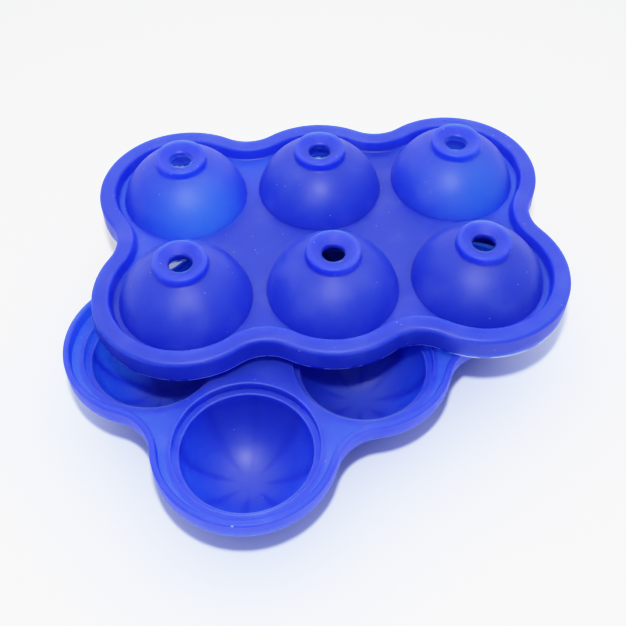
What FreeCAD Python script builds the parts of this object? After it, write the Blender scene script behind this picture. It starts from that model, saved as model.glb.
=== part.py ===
import FreeCAD, Part

import math
import os

os.makedirs("parts", exist_ok=True)

# Silicone ice ball mould: a tray of cups and a lid of domes, the lid laid askew on the tray.
# Millimetres, +Z up. The feet stand on z = 0 and the origin is under the middle of the whole thing.

# Balls and their grid
BALL_R = 23.0           # radius of a finished ball
WALL = 2.1              # silicone wall round a ball
BALL_GAP = 3.8          # space between the walls of neighbouring balls
COLUMNS = 3
ROWS = 2
MOUTH_CHAMFER = 0.4     # eased edge where a half ball opens

# Fits between the two halves
FIT_GAP = 0.2           # sideways clearance of the curb in its channel
SEAT_GAP = 0.3          # sideways clearance of a sealing ring in its counterbore
REST_GAP = 0.02         # height left under the lid where it rests on the curb

# Tray
PLATE_T = 2.0
SEAT_DEPTH = 3.5        # depth of a counterbore, which is also the reach of a sealing ring
SEAT_WALL = 1.8         # wall round a counterbore
CURB_T = 2.4            # thickness of the raised edge
CURB_H = 4.8            # its height over the plate
CURB_ROUND = 0.8
CURB_STEP = 2.4         # strip of plate between a counterbore's wall and the curb
RIB_COUNT = 8           # ribs down the outside of each cup
RIB_T = 1.8
RIB_RISE = 1.8          # how far a rib stands off the cup
FOOT_DROP = 1.0         # how far the flat of a foot is below the cup

# Lid
WEB_T = 2.0
RIM_H = 5.0             # height of the raised rim over the web
RIM_ROOF = 2.0          # silicone over the channel
SKIRT_T = 1.7
SKIRT_DROP = 2.4        # reach of the skirt below the web
RING_CHAMFER = 0.4      # lead-in round the foot of a sealing ring
RIM_INNER_T = 1.9       # thickness of the rim's inner wall at its top
RIM_DRAFT = 0.7         # how far that wall leans in from top to base
RIM_OUT_ROUND = 1.6     # soft outer edge of the rim's top
RIM_IN_ROUND = 1.0      # and its inner edge
RIM_FOOT_ROUND = 1.0    # hollow fillet where the rim's inner wall meets the web
NOTCH_R = 15.5          # hollow radius of the lid's outline between two lobes

# Collar and filling hole on each dome
HOLE_R = 4.2
COLLAR_R = 9.9
COLLAR_H = 3.25         # height of its edge over the dome
COLLAR_ROUND = 0.9
COLLAR_FILLET = 1.2     # flare of its foot into the dome
COLLAR_LIP = 1.9        # width of the edge left round the dish
DISH = 1.5              # depth of the dish that takes the water
DISH_SLOPE = 2.0        # its side goes in this far for each millimetre down
HOLE_CHAMFER = 0.5

# The lid's place on the tray, from the middle of the tray
LID_X = 24.5
LID_Y = 21.0
LID_TURN = -36.1        # degrees

# Sizes that follow from the ones above
OUTER_R = BALL_R + WALL
PITCH = 2 * OUTER_R + BALL_GAP
SEAT_R = OUTER_R + SEAT_GAP
TRAY_R = SEAT_R + SEAT_WALL + CURB_STEP + CURB_T
CHANNEL_R = TRAY_R + FIT_GAP
LID_R = CHANNEL_R + SKIRT_T
CHANNEL_IN_R = TRAY_R - CURB_T - FIT_GAP
RIM_IN_R = CHANNEL_IN_R - RIM_INNER_T
RIM_TOP = WEB_T + RIM_H
FOOT_Z = -(SEAT_DEPTH + OUTER_R + FOOT_DROP)
V = FreeCAD.Vector
UP = V(0, 0, 1)


def cup_centres():
    """Centres of the cups, row by row."""
    x0 = -PITCH * (COLUMNS - 1) / 2
    y0 = -PITCH * (ROWS - 1) / 2
    return [V(x0 + PITCH * i, y0 + PITCH * j, 0) for j in range(ROWS) for i in range(COLUMNS)]


def edge_centres():
    """Centres of the cups on the outline, anticlockwise from the lower left."""
    x0 = -PITCH * (COLUMNS - 1) / 2
    y0 = -PITCH * (ROWS - 1) / 2
    low = [V(x0 + PITCH * i, y0, 0) for i in range(COLUMNS)]
    right = [V(-x0, y0 + PITCH * j, 0) for j in range(1, ROWS)]
    top = [V(-x0 - PITCH * i, -y0, 0) for i in range(1, COLUMNS)]
    left = [V(x0, -y0 - PITCH * j, 0) for j in range(1, ROWS - 1)]
    return low + right + top + left


def outline(inset, z):
    """The scalloped outline of the lid, moved in by inset, as a wire at height z.

    Each lobe is an arc round its cup, and each notch a hollow arc tangent to the two lobes.
    """
    lobe_r = LID_R - inset
    notch_r = NOTCH_R + inset
    cups = edge_centres()
    reach = math.sqrt((lobe_r + notch_r) ** 2 - (PITCH / 2) ** 2)
    notches = []
    for here, there in zip(cups, cups[1:] + cups[:1]):
        along = (there - here).normalize()
        outward = V(along.y, -along.x, 0)
        notches.append((here + there) * 0.5 + outward * reach)
    edges = []
    for i, cup in enumerate(cups):
        before = notches[i - 1]
        after = notches[i]
        following = cups[(i + 1) % len(cups)]
        start = cup + (before - cup).normalize() * lobe_r
        end = cup + (after - cup).normalize() * lobe_r
        middle = (start - cup).normalize() + (end - cup).normalize()
        if middle.dot(cup) < 0:
            middle = middle * -1
        top = cup + middle.normalize() * lobe_r
        edges.append(arc(start, top, end, z))
        landing = following + (after - following).normalize() * lobe_r
        deepest = after + ((cup + following) * 0.5 - after).normalize() * notch_r
        edges.append(arc(end, deepest, landing, z))
    return Part.Wire(edges)


def arc(a, b, c, z):
    """An arc through three points, laid at height z."""
    return Part.Arc(V(a.x, a.y, z), V(b.x, b.y, z), V(c.x, c.y, z)).toShape()


def slab(inset, low, high):
    """The outline moved in by inset, as a solid from low to high."""
    return Part.Face(outline(inset, low)).extrude(V(0, 0, high - low))


def line(a, b):
    return Part.LineSegment(V(a[0], 0, a[1]), V(b[0], 0, b[1])).toShape()


def bend(a, b, c):
    """An arc of a section through three points, each radius then height."""
    return Part.Arc(V(a[0], 0, a[1]), V(b[0], 0, b[1]), V(c[0], 0, c[1])).toShape()


def turned(edges):
    """A section of radius and height edges, turned about Z."""
    return Part.Face(Part.Wire(edges)).revolve(V(0, 0, 0), UP, 360)


def on_ball(radius, r, sign):
    """The point of a sphere at radius r, on its upper (1) or lower (-1) half."""
    return (r, -SEAT_DEPTH + sign * math.sqrt(radius ** 2 - r ** 2))


def ball_point(radius, degrees):
    """The point of a sphere at this many degrees above its equator."""
    a = math.radians(degrees)
    return (radius * math.cos(a), -SEAT_DEPTH + radius * math.sin(a))


def fuse_all(first, others):
    return first.multiFuse(others).removeSplitter()


def rounded(shape, test, radius):
    """The shape with the edges that pass the test rounded."""
    edges = [e for e in shape.Edges if test(e)]
    return shape.makeFillet(radius, edges)


def level(edge, z):
    """Whether an edge lies flat at height z."""
    box = edge.BoundBox
    return abs(box.ZMin - z) < 1e-4 and abs(box.ZMax - z) < 1e-4


def on_outline(edge):
    """Whether an edge of the rim's top lies on the lid's outer outline."""
    point = edge.valueAt(edge.FirstParameter)
    flat = Part.Vertex(point.x, point.y, 0)
    return flat.distToShape(outline(0, 0))[0] < 1e-3


def cup_body():
    """One cup with its seat, still full."""
    seat_out = SEAT_R + SEAT_WALL
    under = SEAT_DEPTH + WALL
    inside = -PLATE_T / 2
    corner = (math.sqrt(OUTER_R ** 2 - WALL ** 2), -under)
    start_angle = -math.degrees(math.asin(WALL / OUTER_R))
    return turned([
        line((0, inside), (seat_out, inside)),
        line((seat_out, inside), (seat_out, -under)),
        line((seat_out, -under), corner),
        bend(corner, ball_point(OUTER_R, (start_angle - 90) / 2), (0, -SEAT_DEPTH - OUTER_R)),
        line((0, -SEAT_DEPTH - OUTER_R), (0, inside)),
    ])


def cup_space():
    """What is empty in a cup: the seat of the sealing ring and the lower half of the ball."""
    above = 1.0
    ease = MOUTH_CHAMFER
    mouth = (math.sqrt(BALL_R ** 2 - ease ** 2), -SEAT_DEPTH - ease)
    return turned([
        line((0, above), (SEAT_R + ease, above)),
        line((SEAT_R + ease, above), (SEAT_R + ease, 0)),
        line((SEAT_R + ease, 0), (SEAT_R, -ease)),
        line((SEAT_R, -ease), (SEAT_R, -SEAT_DEPTH)),
        line((SEAT_R, -SEAT_DEPTH), (BALL_R + ease, -SEAT_DEPTH)),
        line((BALL_R + ease, -SEAT_DEPTH), mouth),
        bend(mouth, ball_point(BALL_R, -45), (0, -SEAT_DEPTH - BALL_R)),
        line((0, -SEAT_DEPTH - BALL_R), (0, above)),
    ])


def cup_ribs():
    """The ribs under a cup: upright fins that follow the ball and end in a flat star foot."""
    reach = OUTER_R + RIB_RISE
    top = -SEAT_DEPTH - WALL / 2
    fins = []
    for i in range(RIB_COUNT):
        fin = Part.makeBox(reach + 1, RIB_T, top - FOOT_Z, V(0, -RIB_T / 2, FOOT_Z))
        fin.rotate(V(0, 0, 0), UP, 360.0 * i / RIB_COUNT)
        fins.append(fin)
    star = fins[0].multiFuse(fins[1:])
    ball = Part.makeSphere(reach, V(0, 0, -SEAT_DEPTH))
    return star.common(ball)


def make_tray():
    """The lower half, with the top of its plate at z = 0."""
    edge_inset = LID_R - TRAY_R
    plate = slab(edge_inset, -PLATE_T, 0)
    curb = slab(edge_inset, -PLATE_T / 2, CURB_H)
    curb = curb.cut(slab(edge_inset + CURB_T, -PLATE_T, CURB_H + 1))
    body = cup_body()
    ribs = cup_ribs()
    pieces = [curb]
    for c in cup_centres():
        pieces.append(body.translated(c))
        pieces.append(ribs.translated(c))
    tray = fuse_all(plate, pieces)
    space = cup_space()
    for c in cup_centres():
        tray = tray.cut(space.translated(c))
    return rounded(tray, lambda e: level(e, CURB_H), CURB_ROUND)


def dome_body():
    """One dome with its sealing ring below and its collar on top, still full."""
    ring_foot = (OUTER_R - RING_CHAMFER, -SEAT_DEPTH)
    ring_side = (OUTER_R, -SEAT_DEPTH + RING_CHAMFER)
    in_web = WEB_T / 2
    spring = (math.sqrt(OUTER_R ** 2 - (in_web + SEAT_DEPTH) ** 2), in_web)
    # the fillet between the dome and the collar is tangent to both
    mid_r = COLLAR_R + COLLAR_FILLET
    mid_z = on_ball(OUTER_R + COLLAR_FILLET, mid_r, 1)[1]
    share = OUTER_R / (OUTER_R + COLLAR_FILLET)
    touch = (mid_r * share, -SEAT_DEPTH + (mid_z + SEAT_DEPTH) * share)
    leaning = math.atan2(touch[1] - mid_z, touch[0] - mid_r)
    if leaning < 0:
        leaning += 2 * math.pi
    half = (leaning + math.pi) / 2
    hollow = (mid_r + COLLAR_FILLET * math.cos(half), mid_z + COLLAR_FILLET * math.sin(half))
    foot = (COLLAR_R, mid_z)
    top = on_ball(OUTER_R, COLLAR_R, 1)[1] + COLLAR_H
    turn = COLLAR_ROUND * (1 - math.sqrt(0.5))
    a0 = math.degrees(math.asin((in_web + SEAT_DEPTH) / OUTER_R))
    a1 = math.degrees(math.atan2(touch[1] + SEAT_DEPTH, touch[0]))
    lip_r = COLLAR_R - COLLAR_LIP
    dish_r = lip_r - DISH * DISH_SLOPE
    return turned([
        line((0, -SEAT_DEPTH), ring_foot),
        line(ring_foot, ring_side),
        line(ring_side, (OUTER_R, in_web)),
        line((OUTER_R, in_web), spring),
        bend(spring, ball_point(OUTER_R, (a0 + a1) / 2), touch),
        bend(touch, hollow, foot),
        line(foot, (COLLAR_R, top - COLLAR_ROUND)),
        bend((COLLAR_R, top - COLLAR_ROUND), (COLLAR_R - turn, top - turn),
             (COLLAR_R - COLLAR_ROUND, top)),
        line((COLLAR_R - COLLAR_ROUND, top), (lip_r, top)),
        line((lip_r, top), (dish_r, top - DISH)),
        line((dish_r, top - DISH), (0, top - DISH)),
        line((0, top - DISH), (0, -SEAT_DEPTH)),
    ])


def dome_space():
    """What is empty in a dome: the upper half of the ball and the filling hole."""
    ease = MOUTH_CHAMFER
    below = -SEAT_DEPTH - 1
    mouth = (math.sqrt(BALL_R ** 2 - ease ** 2), -SEAT_DEPTH + ease)
    start = math.degrees(math.asin(ease / BALL_R))
    finish = math.degrees(math.acos(HOLE_R / BALL_R))
    top = on_ball(OUTER_R, COLLAR_R, 1)[1] + COLLAR_H - DISH
    flare = HOLE_R + HOLE_CHAMFER
    return turned([
        line((0, below), (BALL_R + ease, below)),
        line((BALL_R + ease, below), (BALL_R + ease, -SEAT_DEPTH)),
        line((BALL_R + ease, -SEAT_DEPTH), mouth),
        bend(mouth, ball_point(BALL_R, (start + finish) / 2), on_ball(BALL_R, HOLE_R, 1)),
        line(on_ball(BALL_R, HOLE_R, 1), (HOLE_R, top - HOLE_CHAMFER)),
        line((HOLE_R, top - HOLE_CHAMFER), (flare, top)),
        line((flare, top), (flare, top + 1)),
        line((flare, top + 1), (0, top + 1)),
        line((0, top + 1), (0, below)),
    ])


def make_lid():
    """The upper half, with the underside of its web at z = 0."""
    roof = RIM_TOP - RIM_ROOF
    lid = slab(0, -SKIRT_DROP, RIM_TOP)
    pocket_top = LID_R - RIM_IN_R
    # the pocket is run on above the rim at the same slope
    over = 1.0
    slope = RIM_DRAFT / RIM_H
    low_wire = outline(pocket_top + RIM_DRAFT, WEB_T)
    high_wire = outline(pocket_top - slope * over, RIM_TOP + over)
    lid = lid.cut(Part.makeLoft([low_wire, high_wire], True, True))
    lid = lid.cut(slab(SKIRT_T, -SKIRT_DROP - 1, 0))
    channel = slab(SKIRT_T, -1, roof).cut(slab(LID_R - CHANNEL_IN_R, -2, roof + 1))
    lid = lid.cut(channel)
    lid = rounded(lid, lambda e: level(e, WEB_T), RIM_FOOT_ROUND)
    # the rim's outer edge is the longer of the two loops on its top
    lid = rounded(lid, lambda e: level(e, RIM_TOP) and on_outline(e), RIM_OUT_ROUND)
    lid = rounded(lid, lambda e: level(e, RIM_TOP) and not on_outline(e), RIM_IN_ROUND)
    body = dome_body()
    space = dome_space()
    lid = fuse_all(lid, [body.translated(c) for c in cup_centres()])
    for c in cup_centres():
        lid = lid.cut(space.translated(c))
    return lid


tray = make_tray()
lid = make_lid()

# The lid has slid off its seat: its rings lie on top of the curb.
lid.rotate(V(0, 0, 0), UP, LID_TURN)
lid.translate(V(LID_X, LID_Y, CURB_H + SEAT_DEPTH + REST_GAP))

# Feet on z = 0, and the middle of the whole thing over the origin
whole = Part.makeCompound([tray, lid]).optimalBoundingBox(False, False)
shift = V(-(whole.XMin + whole.XMax) / 2, -(whole.YMin + whole.YMax) / 2, -FOOT_Z)
tray.translate(shift)
lid.translate(shift)

tray = tray.Solids[0]
lid = lid.Solids[0]
tray.exportStep("parts/tray.step")
lid.exportStep("parts/lid.step")

for name, solid in (("tray", tray), ("lid", lid)):
    box = solid.BoundBox
    print("%s: valid %s, %.1f cm3" % (name, solid.isValid(), solid.Volume / 1000))
    print("  from %.1f %.1f %.1f to %.1f %.1f %.1f mm" % (box.XMin, box.YMin, box.ZMin,
                                                          box.XMax, box.YMax, box.ZMax))
print("moved by %.3f %.3f %.3f mm" % (shift.x, shift.y, shift.z))
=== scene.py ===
# %% [markdown]
# # A silicone ice ball mould
#
# The mould is made of two soft mouldings in the same royal blue silicone: a tray of six cups and a lid of
# six domes. In the photograph the lid lies askew on the tray, on a white table in a white studio, lit by a
# flash. The construction comes from the CAD model. This lesson gives it its silicone, its light and its
# camera.

import math

import bpy
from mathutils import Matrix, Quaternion, Vector

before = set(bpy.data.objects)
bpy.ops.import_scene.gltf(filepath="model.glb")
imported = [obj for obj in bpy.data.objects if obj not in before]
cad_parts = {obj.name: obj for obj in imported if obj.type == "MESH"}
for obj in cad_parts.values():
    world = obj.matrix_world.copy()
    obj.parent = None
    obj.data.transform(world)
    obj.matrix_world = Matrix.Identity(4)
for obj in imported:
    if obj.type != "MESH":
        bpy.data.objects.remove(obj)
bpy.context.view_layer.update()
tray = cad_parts["tray"]
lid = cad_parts["lid"]
CUP_PITCH = 0.054
CUP_COLUMNS = 3
CUP_ROWS = 2


def box_of(node):
    """The two opposite corners of one moulding's box."""
    corners = [node.matrix_world @ Vector(corner) for corner in node.bound_box]
    return [Vector([pick(corner[i] for corner in corners) for i in range(3)]) for pick in (min, max)]


def in_mm(*metres):
    """Lengths as rounded millimetres, for what the cells print."""
    return [round(v * 1000, 1) for v in metres]


tray_low, tray_high = box_of(tray)
tray_middle = (tray_low + tray_high) / 2
lobe_r = (tray_high.y - tray_low.y - CUP_PITCH * (CUP_ROWS - 1)) / 2
print("radius of each lobe of the tray in mm:", in_mm(lobe_r))

# %% [markdown]
# ## Colour on screen
#
# The blue of this silicone is very pure. Blender's default look pulls strong colours towards grey, as film
# does. The plain standard look keeps them, but it cuts off hard at white. The camera that took the
# photograph rolls off instead: its flash lights the table past white, and the table still has its tone.
# A curve with a soft shoulder does the same here, and its toe makes the deepest shadows a little deeper.

# %% Choose how light becomes colour
BRIGHTEST = 1.6
TONES = ((0.0, 0.0), (0.01, 0.005), (0.03, 0.021), (0.06, 0.052), (0.1, 0.1), (0.4, 0.42), (0.6, 0.62),
         (0.8, 0.77), (1.0, 0.865), (1.3, 0.935), (1.6, 0.965))
COMBINED_CURVE = 3

scene = bpy.context.scene


def set_tone():
    """Turns light into colour along TONES, pairs of light in the scene and light on the screen."""
    view = scene.view_settings
    view.view_transform = "Standard"
    view.look = "None"
    view.exposure = 0.0
    view.use_curve_mapping = True
    mapping = view.curve_mapping
    mapping.white_level = (BRIGHTEST, BRIGHTEST, BRIGHTEST)
    curve = mapping.curves[COMBINED_CURVE]
    while len(curve.points) < len(TONES):
        curve.points.new(0.5, 0.5)
    for point, (light, shown) in zip(curve.points, TONES):
        point.location = (light / BRIGHTEST, shown)
    mapping.update()
    return view


view = set_tone()
print("view transform:", view.view_transform, "along", len(TONES), "points")

# %% [markdown]
# ## Camera
#
# The camera stands off the tray's front left corner and looks down at about fifty degrees. Its place,
# direction and focal length were worked out from how the round cups and domes are foreshortened.

# %% Place the camera
CAMERA_AT = Vector((-0.15568, -0.18235, 0.29674))
CAMERA_AZIMUTH = math.radians(-40.80)
CAMERA_DOWN = math.radians(51.21)
CAMERA_ROLL = math.radians(-0.355)
FOCAL_MM = 52.39
SENSOR_MM = 36.0
CLIP_NEAR = 0.01
CLIP_FAR = 20.0


def direction(azimuth, up):
    """A unit vector: azimuth turns anticlockwise from the front, up rises from the table."""
    return Vector((math.sin(azimuth) * math.cos(up), -math.cos(azimuth) * math.cos(up), math.sin(up)))


def make_camera():
    """A camera at the fitted place, turned about its own line of sight by the fitted roll."""
    data = bpy.data.cameras.new("camera")
    data.lens = FOCAL_MM
    data.sensor_width = SENSOR_MM
    data.clip_start = CLIP_NEAR
    data.clip_end = CLIP_FAR
    camera = bpy.data.objects.new("camera", data)
    scene.collection.objects.link(camera)
    camera.rotation_mode = "QUATERNION"
    level = (-direction(CAMERA_AZIMUTH, CAMERA_DOWN)).to_track_quat("-Z", "Y")
    camera.rotation_quaternion = level @ Quaternion((0, 0, 1), CAMERA_ROLL)
    camera.location = CAMERA_AT
    scene.camera = camera
    return camera


camera = make_camera()
bpy.context.view_layer.update()
print("camera's right hand:", [round(v, 4) for v in camera.matrix_world.to_3x3() @ Vector((1, 0, 0))])

# %% [markdown]
# ## Small helpers for shader nodes
#
# Every pattern on the table and on the silicone is worked out from a place in space by a few nodes. Each
# helper adds one kind of node to a tree and returns its output, so a pattern reads like a formula. The first
# ones work with numbers.

# %% Write the helpers for numbers
def noise(tree, place, scale, detail):
    """Cloudy noise. Scale is the number of clouds to a metre."""
    node = tree.nodes.new("ShaderNodeTexNoise")
    node.inputs["Scale"].default_value = scale
    node.inputs["Detail"].default_value = detail
    tree.links.new(place, node.inputs["Vector"])
    return node.outputs["Fac"]


def ramp(tree, value, start, end, low, high):
    """Takes a value from the range start to end over to the range low to high, with soft ends."""
    node = tree.nodes.new("ShaderNodeMapRange")
    node.interpolation_type = "SMOOTHSTEP"
    for name, number in (("From Min", start), ("From Max", end), ("To Min", low), ("To Max", high)):
        node.inputs[name].default_value = number
    tree.links.new(value, node.inputs["Value"])
    return node.outputs["Result"]


def math_node(tree, operation, *values):
    """One Math node. A value is either a socket or a number."""
    node = tree.nodes.new("ShaderNodeMath")
    node.operation = operation
    for socket, value in zip(node.inputs, values):
        if isinstance(value, (int, float)):
            socket.default_value = value
        else:
            tree.links.new(value, socket)
    return node.outputs["Value"]


print("helpers for numbers:", [helper.__name__ for helper in (noise, ramp, math_node)])

# %% [markdown]
# The others work with places and colours. A colour is built up in layers, as a painter would do it: each
# layer has a mask that says where it covers the one below.

# %% Write the helpers for places and colours
FLAT = Vector((1, 1, 0))


def vector_steps(tree, value, steps):
    """A row of Vector Math nodes. Each step is an operation and the constant vectors it takes."""
    for operation, *constants in steps:
        node = tree.nodes.new("ShaderNodeVectorMath")
        node.operation = operation
        tree.links.new(value, node.inputs[0])
        for socket, constant in zip(node.inputs[1:], constants):
            socket.default_value = constant
        value = node.outputs["Vector"]
    return value


def length(tree, vector):
    """How far a place is from the origin."""
    node = tree.nodes.new("ShaderNodeVectorMath")
    node.operation = "LENGTH"
    tree.links.new(vector, node.inputs[0])
    return node.outputs["Value"]


def axes(tree, place):
    """The X, Y and Z of a place, by name."""
    node = tree.nodes.new("ShaderNodeSeparateXYZ")
    tree.links.new(place, node.inputs["Vector"])
    return node.outputs


def layer(tree, below, mask, colour):
    """Lays a colour over the one below, where the mask says so. Below is a socket or a plain colour."""
    node = tree.nodes.new("ShaderNodeMix")
    node.data_type = "RGBA"
    under, over = (socket for socket in node.inputs if socket.type == "RGBA")
    over.default_value = colour
    if isinstance(below, tuple):
        under.default_value = below
    else:
        tree.links.new(below, under)
    tree.links.new(mask, node.inputs["Factor"])
    return next(socket for socket in node.outputs if socket.type == "RGBA")


print("helpers for places and colours:", [helper.__name__ for helper in (vector_steps, length, axes, layer)])

# %% [markdown]
# ## Table
#
# The mould stands on a plain white table that fills the picture, with no edge or horizon in view. One large
# matt square is enough. Silicone throws and passes a lot of blue light, more than the render finds by
# itself, so pale blue bounce light is painted onto the table close to the mould, in its shadow too.

# %% Lay the table
TABLE_SIZE = 6.0
TABLE_WHITE = (0.85, 0.848, 0.835, 1.0)
TABLE_ROUGHNESS = 0.6
TABLE_GLOSS = 0.2
# The blue of the painted bounce light on the table.
BOUNCE_LIGHT_BLUE = (0.74, 0.81, 0.98, 1.0)
BOUNCE_NEAR = 0.002
BOUNCE_FAR = 0.044


def paint_blue_bounce(tree):
    """The table's white with painted blue bounce light close to the tray's rounded outline, fading away from
    it.
    """
    straight = (tray_high - tray_low) / 2 - Vector((lobe_r, lobe_r, 0))
    place = tree.nodes.new("ShaderNodeNewGeometry").outputs["Position"]
    outside = vector_steps(tree, place, (
        ("SUBTRACT", tray_middle), ("ABSOLUTE",), ("SUBTRACT", straight), ("MAXIMUM", Vector()),
        ("MULTIPLY", FLAT)))
    near = ramp(tree, length(tree, outside), lobe_r + BOUNCE_NEAR, lobe_r + BOUNCE_FAR, 1.0, 0.0)
    # Painted blue bounce light, strongest close to the mould.
    return layer(tree, TABLE_WHITE, near, BOUNCE_LIGHT_BLUE)


def make_table():
    """A flat square under the mould."""
    half = TABLE_SIZE / 2
    mesh = bpy.data.meshes.new("table")
    corners = [(-half, -half, 0), (half, -half, 0), (half, half, 0), (-half, half, 0)]
    mesh.from_pydata(corners, [], [(0, 1, 2, 3)])
    table = bpy.data.objects.new("table", mesh)
    scene.collection.objects.link(table)
    paint = bpy.data.materials.new("table_white")
    paint.use_nodes = True
    shader = paint.node_tree.nodes["Principled BSDF"]
    paint.node_tree.links.new(paint_blue_bounce(paint.node_tree), shader.inputs["Base Color"])
    shader.inputs["Roughness"].default_value = TABLE_ROUGHNESS
    shader.inputs["Specular IOR Level"].default_value = TABLE_GLOSS
    mesh.materials.append(paint)
    return table


table = make_table()
print("table:", [round(v, 2) for v in table.dimensions], "m")

# %% [markdown]
# ## Light
#
# The crisp edges of the shadows spread from a single point, nearly ten centimetres from the lens and above
# it: the photograph was taken with a flash. The white studio does the rest. It is brightest behind and above
# the mould, and dim and bluish behind the camera. So the walls that face the camera are deep blue, the flat
# tops look hazy and the shadow in front is blue.

# %% Hang the lights
FLASH_AT = Vector((-0.137, -0.158, 0.388))
FLASH_SIZE = 0.02
FLASH_WATTS = 8.2
STUDIO_DIM = (0.11, 0.15, 0.36, 1.0)
STUDIO_BRIGHT = (1.42, 1.42, 1.40, 1.0)
STUDIO_AZIMUTH = math.radians(139.2)
STUDIO_UP = math.radians(52.0)
STUDIO_TURNS_DIM = -0.1


def make_studio():
    """A world that glows from STUDIO_DIM to STUDIO_BRIGHT towards one direction."""
    world = bpy.data.worlds.new("studio")
    world.use_nodes = True
    tree = world.node_tree
    place = tree.nodes.new("ShaderNodeTexCoord")
    towards = tree.nodes.new("ShaderNodeVectorMath")
    towards.operation = "DOT_PRODUCT"
    towards.inputs[1].default_value = direction(STUDIO_AZIMUTH, STUDIO_UP)
    tree.links.new(place.outputs["Generated"], towards.inputs[0])
    bright = ramp(tree, towards.outputs["Value"], STUDIO_TURNS_DIM, 1.0, 0.0, 1.0)
    tree.links.new(layer(tree, STUDIO_DIM, bright, STUDIO_BRIGHT), tree.nodes["Background"].inputs["Color"])
    scene.world = world
    return world


def make_flash():
    """A small square lamp that looks at the middle of the mould and doesn't weaken with distance."""
    data = bpy.data.lights.new("flash", "AREA")
    data.shape = "SQUARE"
    data.size = FLASH_SIZE
    data.energy = FLASH_WATTS
    data.use_nodes = True
    tree = data.node_tree
    even = tree.nodes.new("ShaderNodeLightFalloff")
    even.inputs["Strength"].default_value = 1.0
    tree.links.new(even.outputs["Constant"], tree.nodes["Emission"].inputs["Strength"])
    flash = bpy.data.objects.new("flash", data)
    scene.collection.objects.link(flash)
    flash.location = FLASH_AT
    flash.rotation_mode = "QUATERNION"
    flash.rotation_quaternion = FLASH_AT.to_track_quat("Z", "Y")
    return flash


studio = make_studio()
flash = make_flash()
print("world:", studio.name)
print("from the lens to the flash in mm:", in_mm((flash.location - camera.location).length))

# %% [markdown]
# ## Effects that both mouldings share
#
# The metal tools that shape such rubber are sand blasted, so it has a fine satin grain. Handling leaves a
# faint haze, and rubber picks up dust. Each effect is a node group that hands values back to the material,
# and the lid, which is handled more, gets more haze and dust than the tray.

# %% Build the group of the satin finish
GRAIN_PER_M = 1500.0
GRAIN_DETAIL = 2.0
HAZE_PER_M = 70.0
HAZE_DETAIL = 3.0
HAZE_STARTS = 0.45
HAZE_IS_FULL = 0.75
CLOUD_LOW = 0.3
CLOUD_HIGH = 0.7
SMOOTHEST = 0.44
ROUGHEST = 0.54


def new_group(name, amount, outputs):
    """An empty group that takes a Vector and one named amount and puts out the named numbers."""
    group = bpy.data.node_groups.new(name, "ShaderNodeTree")
    group.interface.new_socket("Vector", in_out="INPUT", socket_type="NodeSocketVector")
    group.interface.new_socket(amount, in_out="INPUT", socket_type="NodeSocketFloat")
    for output in outputs:
        group.interface.new_socket(output, in_out="OUTPUT", socket_type="NodeSocketFloat")
    return group, group.nodes.new("NodeGroupInput"), group.nodes.new("NodeGroupOutput")


def make_satin():
    """Height of the blasted grain, roughness that varies a little, and a cloudy haze mask."""
    group, start, end = new_group("satin", "Haze Amount", ("Height", "Roughness", "Haze"))
    place = start.outputs["Vector"]
    cloud = noise(group, place, HAZE_PER_M, HAZE_DETAIL)
    group.links.new(noise(group, place, GRAIN_PER_M, GRAIN_DETAIL), end.inputs["Height"])
    roughness = ramp(group, cloud, CLOUD_LOW, CLOUD_HIGH, SMOOTHEST, ROUGHEST)
    group.links.new(roughness, end.inputs["Roughness"])
    patches = ramp(group, cloud, HAZE_STARTS, HAZE_IS_FULL, 0.0, 1.0)
    haze = math_node(group, "MULTIPLY", patches, start.outputs["Haze Amount"])
    group.links.new(haze, end.inputs["Haze"])
    return group


satin = make_satin()
print("shared group:", satin.name, "with", len(satin.nodes), "nodes")

# %% [markdown]
# Dust is made of small separate specks. A cell texture gives one round speck to each cell, and each cell
# also has a random colour, which serves to leave most of the specks out.

# %% Build the group of the dust
DUST_PER_M = 300.0
SPECK_CORE = 0.04
SPECK_EDGE = 0.09
CELLS_WITHOUT = 0.62


def make_dust():
    """A mask of small specks, far apart."""
    group, start, end = new_group("dust", "Dust Amount", ("Mask",))
    cells = group.nodes.new("ShaderNodeTexVoronoi")
    cells.inputs["Scale"].default_value = DUST_PER_M
    group.links.new(start.outputs["Vector"], cells.inputs["Vector"])
    apart = group.nodes.new("ShaderNodeSeparateColor")
    group.links.new(cells.outputs["Color"], apart.inputs["Color"])
    speck = ramp(group, cells.outputs["Distance"], SPECK_CORE, SPECK_EDGE, 1.0, 0.0)
    chosen = math_node(group, "GREATER_THAN", apart.outputs["Red"], CELLS_WITHOUT)
    mask = math_node(group, "MULTIPLY", speck, chosen)
    group.links.new(math_node(group, "MULTIPLY", mask, start.outputs["Dust Amount"]), end.inputs["Mask"])
    return group


dust = make_dust()
print("shared group:", dust.name, "with", len(dust.nodes), "nodes")

# %% [markdown]
# ## Silicone
#
# Silicone rubber is a cloudy, slightly see-through solid. Light goes in, scatters and comes out blue a
# millimetre or two away. A wall of two millimetres also passes light, so a dome with light behind it glows
# azure while a wall that faces the camera stays deep blue. Blender's random walk scattering does both.
#
# Both materials start the same: blue rubber that scatters light, the satin grain as a bump, haze and dust
# in the colour. What is painted later on one moulding only, painted light and shade among it, is a further
# layer of colour.

# %% Write what both materials start from
SILICONE_BLUE = (0.020, 0.042, 0.66, 1.0)
# The pale blue of the haze, and of the painted light of the petals in the cups.
HAZE_AND_PETAL_LIGHT_BLUE = (0.075, 0.105, 0.78, 1.0)
DUST_PALE = (0.45, 0.50, 0.85, 1.0)
SCATTER_RADIUS = (10.0, 12.5, 20.0)
SCATTER_SCALE = 0.001
SILICONE_IOR = 1.42
GRAIN_DEPTH = 0.00004


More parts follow.
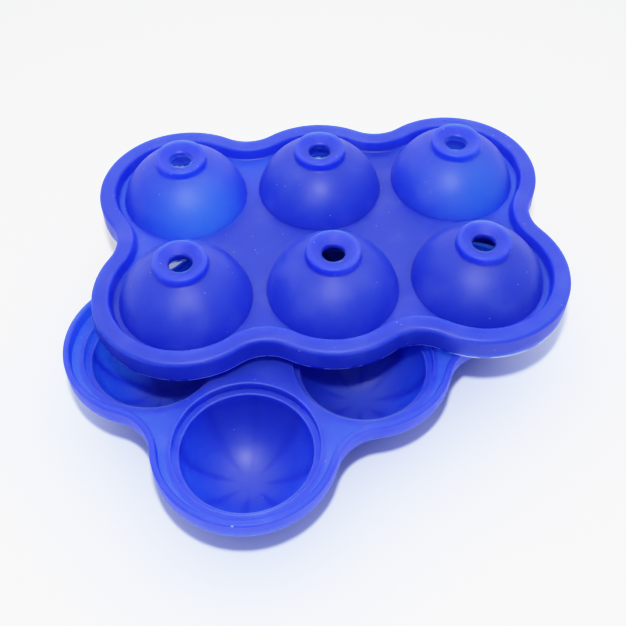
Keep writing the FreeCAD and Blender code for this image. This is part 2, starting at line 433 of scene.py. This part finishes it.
def use_group(tree, group, place, name, amount):
    """Places a shared group in a material, with this material's own amount of the effect."""
    node = tree.nodes.new("ShaderNodeGroup")
    node.node_tree = group
    node.inputs[name].default_value = amount
    tree.links.new(place, node.inputs["Vector"])
    return node


def silicone(name, haze, specks):
    """A material of blue silicone. Returns it with its place socket and the colour so far."""
    material = bpy.data.materials.new(name)
    material.use_nodes = True
    tree = material.node_tree
    shader = tree.nodes["Principled BSDF"]
    shader.subsurface_method = "RANDOM_WALK"
    shader.inputs["Subsurface Weight"].default_value = 1.0
    shader.inputs["Subsurface Radius"].default_value = SCATTER_RADIUS
    shader.inputs["Subsurface Scale"].default_value = SCATTER_SCALE
    shader.inputs["IOR"].default_value = SILICONE_IOR
    place = tree.nodes.new("ShaderNodeTexCoord").outputs["Object"]
    finish = use_group(tree, satin, place, "Haze Amount", haze)
    bump = tree.nodes.new("ShaderNodeBump")
    bump.inputs["Distance"].default_value = GRAIN_DEPTH
    tree.links.new(finish.outputs["Height"], bump.inputs["Height"])
    tree.links.new(bump.outputs["Normal"], shader.inputs["Normal"])
    tree.links.new(finish.outputs["Roughness"], shader.inputs["Roughness"])
    specked = use_group(tree, dust, place, "Dust Amount", specks)
    colour = layer(tree, SILICONE_BLUE, finish.outputs["Haze"], HAZE_AND_PETAL_LIGHT_BLUE)
    return material, place, layer(tree, colour, specked.outputs["Mask"], DUST_PALE)


def finish_material(material, colour):
    """Gives the shader the colour with all its layers."""
    shader = material.node_tree.nodes["Principled BSDF"]
    material.node_tree.links.new(colour, shader.inputs["Base Color"])
    return material


print("silicone blue:", SILICONE_BLUE[:3], "and a grain", GRAIN_DEPTH, "m deep")

# %% [markdown]
# ## One pattern for six cups
#
# What is painted on one cup of the tray is the same on all of them. So a place on the tray is first turned
# into one measured from the middle of the nearest cup. The distance from that middle then finds the mouth
# and the edges round it.

# %% Measure from the nearest cup
def cup_place(tree, place):
    """Turns a place on the tray into one measured from the middle of the nearest cup."""
    last = Vector((CUP_COLUMNS - 1, CUP_ROWS - 1, 0))
    first = tray_middle - last * CUP_PITCH / 2
    from_first = vector_steps(tree, place, (("SUBTRACT", first), ("MULTIPLY", FLAT)))
    nearest = vector_steps(tree, from_first, (
        ("MULTIPLY_ADD", FLAT / CUP_PITCH, FLAT / 2), ("FLOOR",), ("MAXIMUM", Vector()), ("MINIMUM", last),
        ("MULTIPLY", FLAT * CUP_PITCH)))
    local = tree.nodes.new("ShaderNodeVectorMath")
    local.operation = "SUBTRACT"
    tree.links.new(from_first, local.inputs[0])
    tree.links.new(nearest, local.inputs[1])
    return local.outputs["Vector"]


print("cups:", CUP_COLUMNS, "by", CUP_ROWS, "at a pitch in mm of", in_mm(CUP_PITCH))

# %% [markdown]
# ## Ribs seen through the cups
#
# Eight ribs run down the outside of every cup. The wall is thicker there and lets less light through, so
# painted shade marks each rib, and painted light shows as pale petals between them at the bottom of the cup.
# Further up, the whole wall gets painted shade, a deeper blue.

# %% Find the painted shade of the ribs and the wall, and the painted light of the petals
# The blue of the painted shade on the cups' walls and ribs.
CUP_SHADE_BLUE = (0.010, 0.026, 0.38, 1.0)
MOUTH_R = 0.0232
RIB_COUNT = 8
RIB_START = 0.003
RIB_FULL = 0.010
RIB_CORE = 0.05
RIB_SIDE = 0.7
# How much painted shade the ribs add.
RIB_SHADE_SHARE = 0.35
# Where the painted light of the petals starts, how far it reaches and how strong it is.
PETAL_START = 0.004
PETAL_REACH = 0.018
PETAL_LIGHT_SHARE = 0.45
# Where the painted shade of the wall starts, and how strong it grows.
WALL_START = 0.009
WALL_SHADE_SHARE = 0.5


def along_ribs(tree, local, radius):
    """A mask of the eight ribs, which starts a little away from the middle of the cup."""
    across = axes(tree, local)
    turn = math_node(tree, "ARCTAN2", across["Y"], across["X"])
    wave = math_node(tree, "SINE", math_node(tree, "MULTIPLY", turn, RIB_COUNT / 2))
    on_rib = ramp(tree, math_node(tree, "ABSOLUTE", wave), RIB_CORE, RIB_SIDE, 1.0, 0.0)
    return math_node(tree, "MULTIPLY", on_rib, ramp(tree, radius, RIB_START, RIB_FULL, 0.0, 1.0))


def in_cup(tree, radius, start, share):
    """A mask that grows from the radius start to the cup's mouth, and ends there."""
    grown = ramp(tree, radius, start, MOUTH_R, 0.0, share)
    return math_node(tree, "MULTIPLY", grown, math_node(tree, "LESS_THAN", radius, MOUTH_R))


def cup_light_and_shade(tree, local, radius):
    """The painted light and shade of one cup, as masks with their colours: the wall's shade, the ribs'
    shade, then the petals' light.
    """
    ribs = along_ribs(tree, local, radius)
    between = math_node(tree, "SUBTRACT", 1.0, ribs)
    # Painted light between the ribs at the bottom of the cup.
    bottom = ramp(tree, radius, PETAL_START, PETAL_REACH, PETAL_LIGHT_SHARE, 0.0)
    petals = math_node(tree, "MULTIPLY", between, bottom)
    # Painted shade along the ribs, and on the wall further up.
    rib_shade = math_node(tree, "MULTIPLY", ribs, in_cup(tree, radius, 0.0, RIB_SHADE_SHARE))
    wall = in_cup(tree, radius, WALL_START, WALL_SHADE_SHARE)
    return (wall, CUP_SHADE_BLUE), (rib_shade, CUP_SHADE_BLUE), (petals, HAZE_AND_PETAL_LIGHT_BLUE)


print("ribs on each cup:", RIB_COUNT, "inside a mouth with a radius in mm of", in_mm(MOUTH_R))

# %% [markdown]
# ## The tray's edges
#
# The flash draws a fine line along the two edges round the mouth of each cup, painted here as a
# highlight. The thin edge under the curb would glow too green, as more light gets through it than in real
# rubber, so it gets painted shade, a deeper blue. One small nick on the front of the curb gets a painted
# glint.

# %% Paint the tray
TRAY_HAZE = 0.25
TRAY_DUST = 0.35
# The pale of the painted glints on the edges, the nick and the lid's skirt.
GLINT_PALE = (0.30, 0.38, 0.95, 1.0)
GLINT_WIDTH = 0.0003
GLINT_SHARE = 0.18
MOUTH_Z = 0.0255
SEAT_R = 0.0256
SEAT_Z = 0.0292
# The blue of the painted shade on the thin edges of both mouldings.
EDGE_SHADE_BLUE = (0.008, 0.012, 0.45, 1.0)
CURB_EDGE_R = 0.0272
CURB_EDGE_Z = 0.0288
NICK_AT = (-0.0928, -0.0703, 0.0342)
NICK_R = 0.0006
# How strong the painted glint on the nick is.
NICK_GLINT_SHARE = 0.6


def glint_line(tree, radius, height, edge_r, edge_z):
    """A mask of a fine painted highlight at one radius from the cup's middle, above one height."""
    away = math_node(tree, "ABSOLUTE", math_node(tree, "SUBTRACT", radius, edge_r))
    line = ramp(tree, away, 0.0, GLINT_WIDTH, GLINT_SHARE, 0.0)
    return math_node(tree, "MULTIPLY", line, math_node(tree, "GREATER_THAN", height, edge_z))


def paint_tray():
    """Silicone with the cups' painted light and shade, painted shade under the curb, and painted glints on
    the two edges and the nick.
    """
    material, place, colour = silicone("tray_silicone", TRAY_HAZE, TRAY_DUST)
    tree = material.node_tree
    height = axes(tree, place)["Z"]
    local = cup_place(tree, place)
    radius = length(tree, local)
    # Painted shade and light of each cup.
    for mask, shade in cup_light_and_shade(tree, local, radius):
        colour = layer(tree, colour, mask, shade)
    # Painted shade on the thin edge under the curb.
    below = math_node(tree, "LESS_THAN", height, CURB_EDGE_Z)
    outside = math_node(tree, "GREATER_THAN", radius, CURB_EDGE_R)
    colour = layer(tree, colour, math_node(tree, "MULTIPLY", below, outside), EDGE_SHADE_BLUE)
    # Painted highlights along the two edges round each mouth.
    for edge_r, edge_z in ((MOUTH_R, MOUTH_Z), (SEAT_R, SEAT_Z)):
        colour = layer(tree, colour, glint_line(tree, radius, height, edge_r, edge_z), GLINT_PALE)
    # A painted glint on the nick.
    from_nick = length(tree, vector_steps(tree, place, (("SUBTRACT", NICK_AT),)))
    colour = layer(tree, colour, ramp(tree, from_nick, NICK_R / 2, NICK_R, NICK_GLINT_SHARE, 0.0), GLINT_PALE)
    return finish_material(material, colour)


tray_material = paint_tray()
print("tray material:", len(tray_material.node_tree.nodes), "nodes")

# %% [markdown]
# ## Light in the lid's domes
#
# Two domes of the lid hang out over the bare table, which sends light up into them, so the front of each
# glows azure. That glow is painted light in the lid's colour.

# %% Find the glow
# The azure of the painted light in the two domes.
GLOW_AZURE = (0.030, 0.105, 0.95, 1.0)
GLOW_REACH = 0.026
DOME_R = 0.0262
FADE_INSIDE = 0.003
FADE_OUTSIDE = 0.001
DOME_LEFT = (-0.0192, 0.0536, 0)
DOME_RIGHT = (0.0681, -0.0100, 0)
GLOW_LEFT = (-0.0248, 0.0361, 0.044)
GLOW_RIGHT = (0.0640, -0.0240, 0.044)


def glow_mask(tree, place, dome, brightest):
    """A mask of the painted light on the dome whose middle is given, fading away from its brightest place.
    """
    local = vector_steps(tree, place, (("SUBTRACT", dome), ("MULTIPLY", FLAT)))
    on_dome = ramp(tree, length(tree, local), DOME_R - FADE_INSIDE, DOME_R + FADE_OUTSIDE, 1.0, 0.0)
    away = length(tree, vector_steps(tree, place, (("SUBTRACT", brightest),)))
    return math_node(tree, "MULTIPLY", on_dome, ramp(tree, away, 0.0, GLOW_REACH, 1.0, 0.0))


print("domes that glow:", DOME_LEFT, "and", DOME_RIGHT)

# %% [markdown]
# ## The lid's skirt
#
# The lower edge of the lid's skirt was trimmed by hand. The thin rubber left on it catches the light as a
# broken bright line, painted here as a highlight. Above that line the edge gets the same painted shade, a
# deeper blue, as the tray's thin edge.

# %% Paint the lid and dress both mouldings
LID_HAZE = 0.35
LID_DUST = 0.5
# Below this height the skirt's edge gets painted shade.
SKIRT_SHADE_Z = 0.03640
SKIRT_EDGE_Z = 0.03595
BREAKS_PER_M = 160.0
BREAKS_DETAIL = 2.0
BREAK_STARTS = 0.40
BREAK_ENDS = 0.52


def paint_lid():
    """Silicone with painted light in the two glowing domes, and painted shade and a broken painted highlight
    on the skirt's edge.
    """
    material, place, colour = silicone("lid_silicone", LID_HAZE, LID_DUST)
    tree = material.node_tree
    height = axes(tree, place)["Z"]
    # Painted light in the two domes over the bare table.
    for dome, brightest in ((DOME_LEFT, GLOW_LEFT), (DOME_RIGHT, GLOW_RIGHT)):
        colour = layer(tree, colour, glow_mask(tree, place, dome, brightest), GLOW_AZURE)
    # Painted shade on the skirt's thin edge.
    colour = layer(tree, colour, math_node(tree, "LESS_THAN", height, SKIRT_SHADE_Z), EDGE_SHADE_BLUE)
    # A broken painted highlight on the thin rubber left at the very bottom.
    low_enough = math_node(tree, "LESS_THAN", height, SKIRT_EDGE_Z)
    broken = ramp(tree, noise(tree, place, BREAKS_PER_M, BREAKS_DETAIL), BREAK_STARTS, BREAK_ENDS, 0.0, 1.0)
    colour = layer(tree, colour, math_node(tree, "MULTIPLY", low_enough, broken), GLINT_PALE)
    return finish_material(material, colour)


def dress(node, material):
    """Gives one moulding its material."""
    node.data.materials.clear()
    node.data.materials.append(material)


lid_material = paint_lid()
dress(tray, tray_material)
dress(lid, lid_material)
print("lid material:", len(lid_material.node_tree.nodes), "nodes")
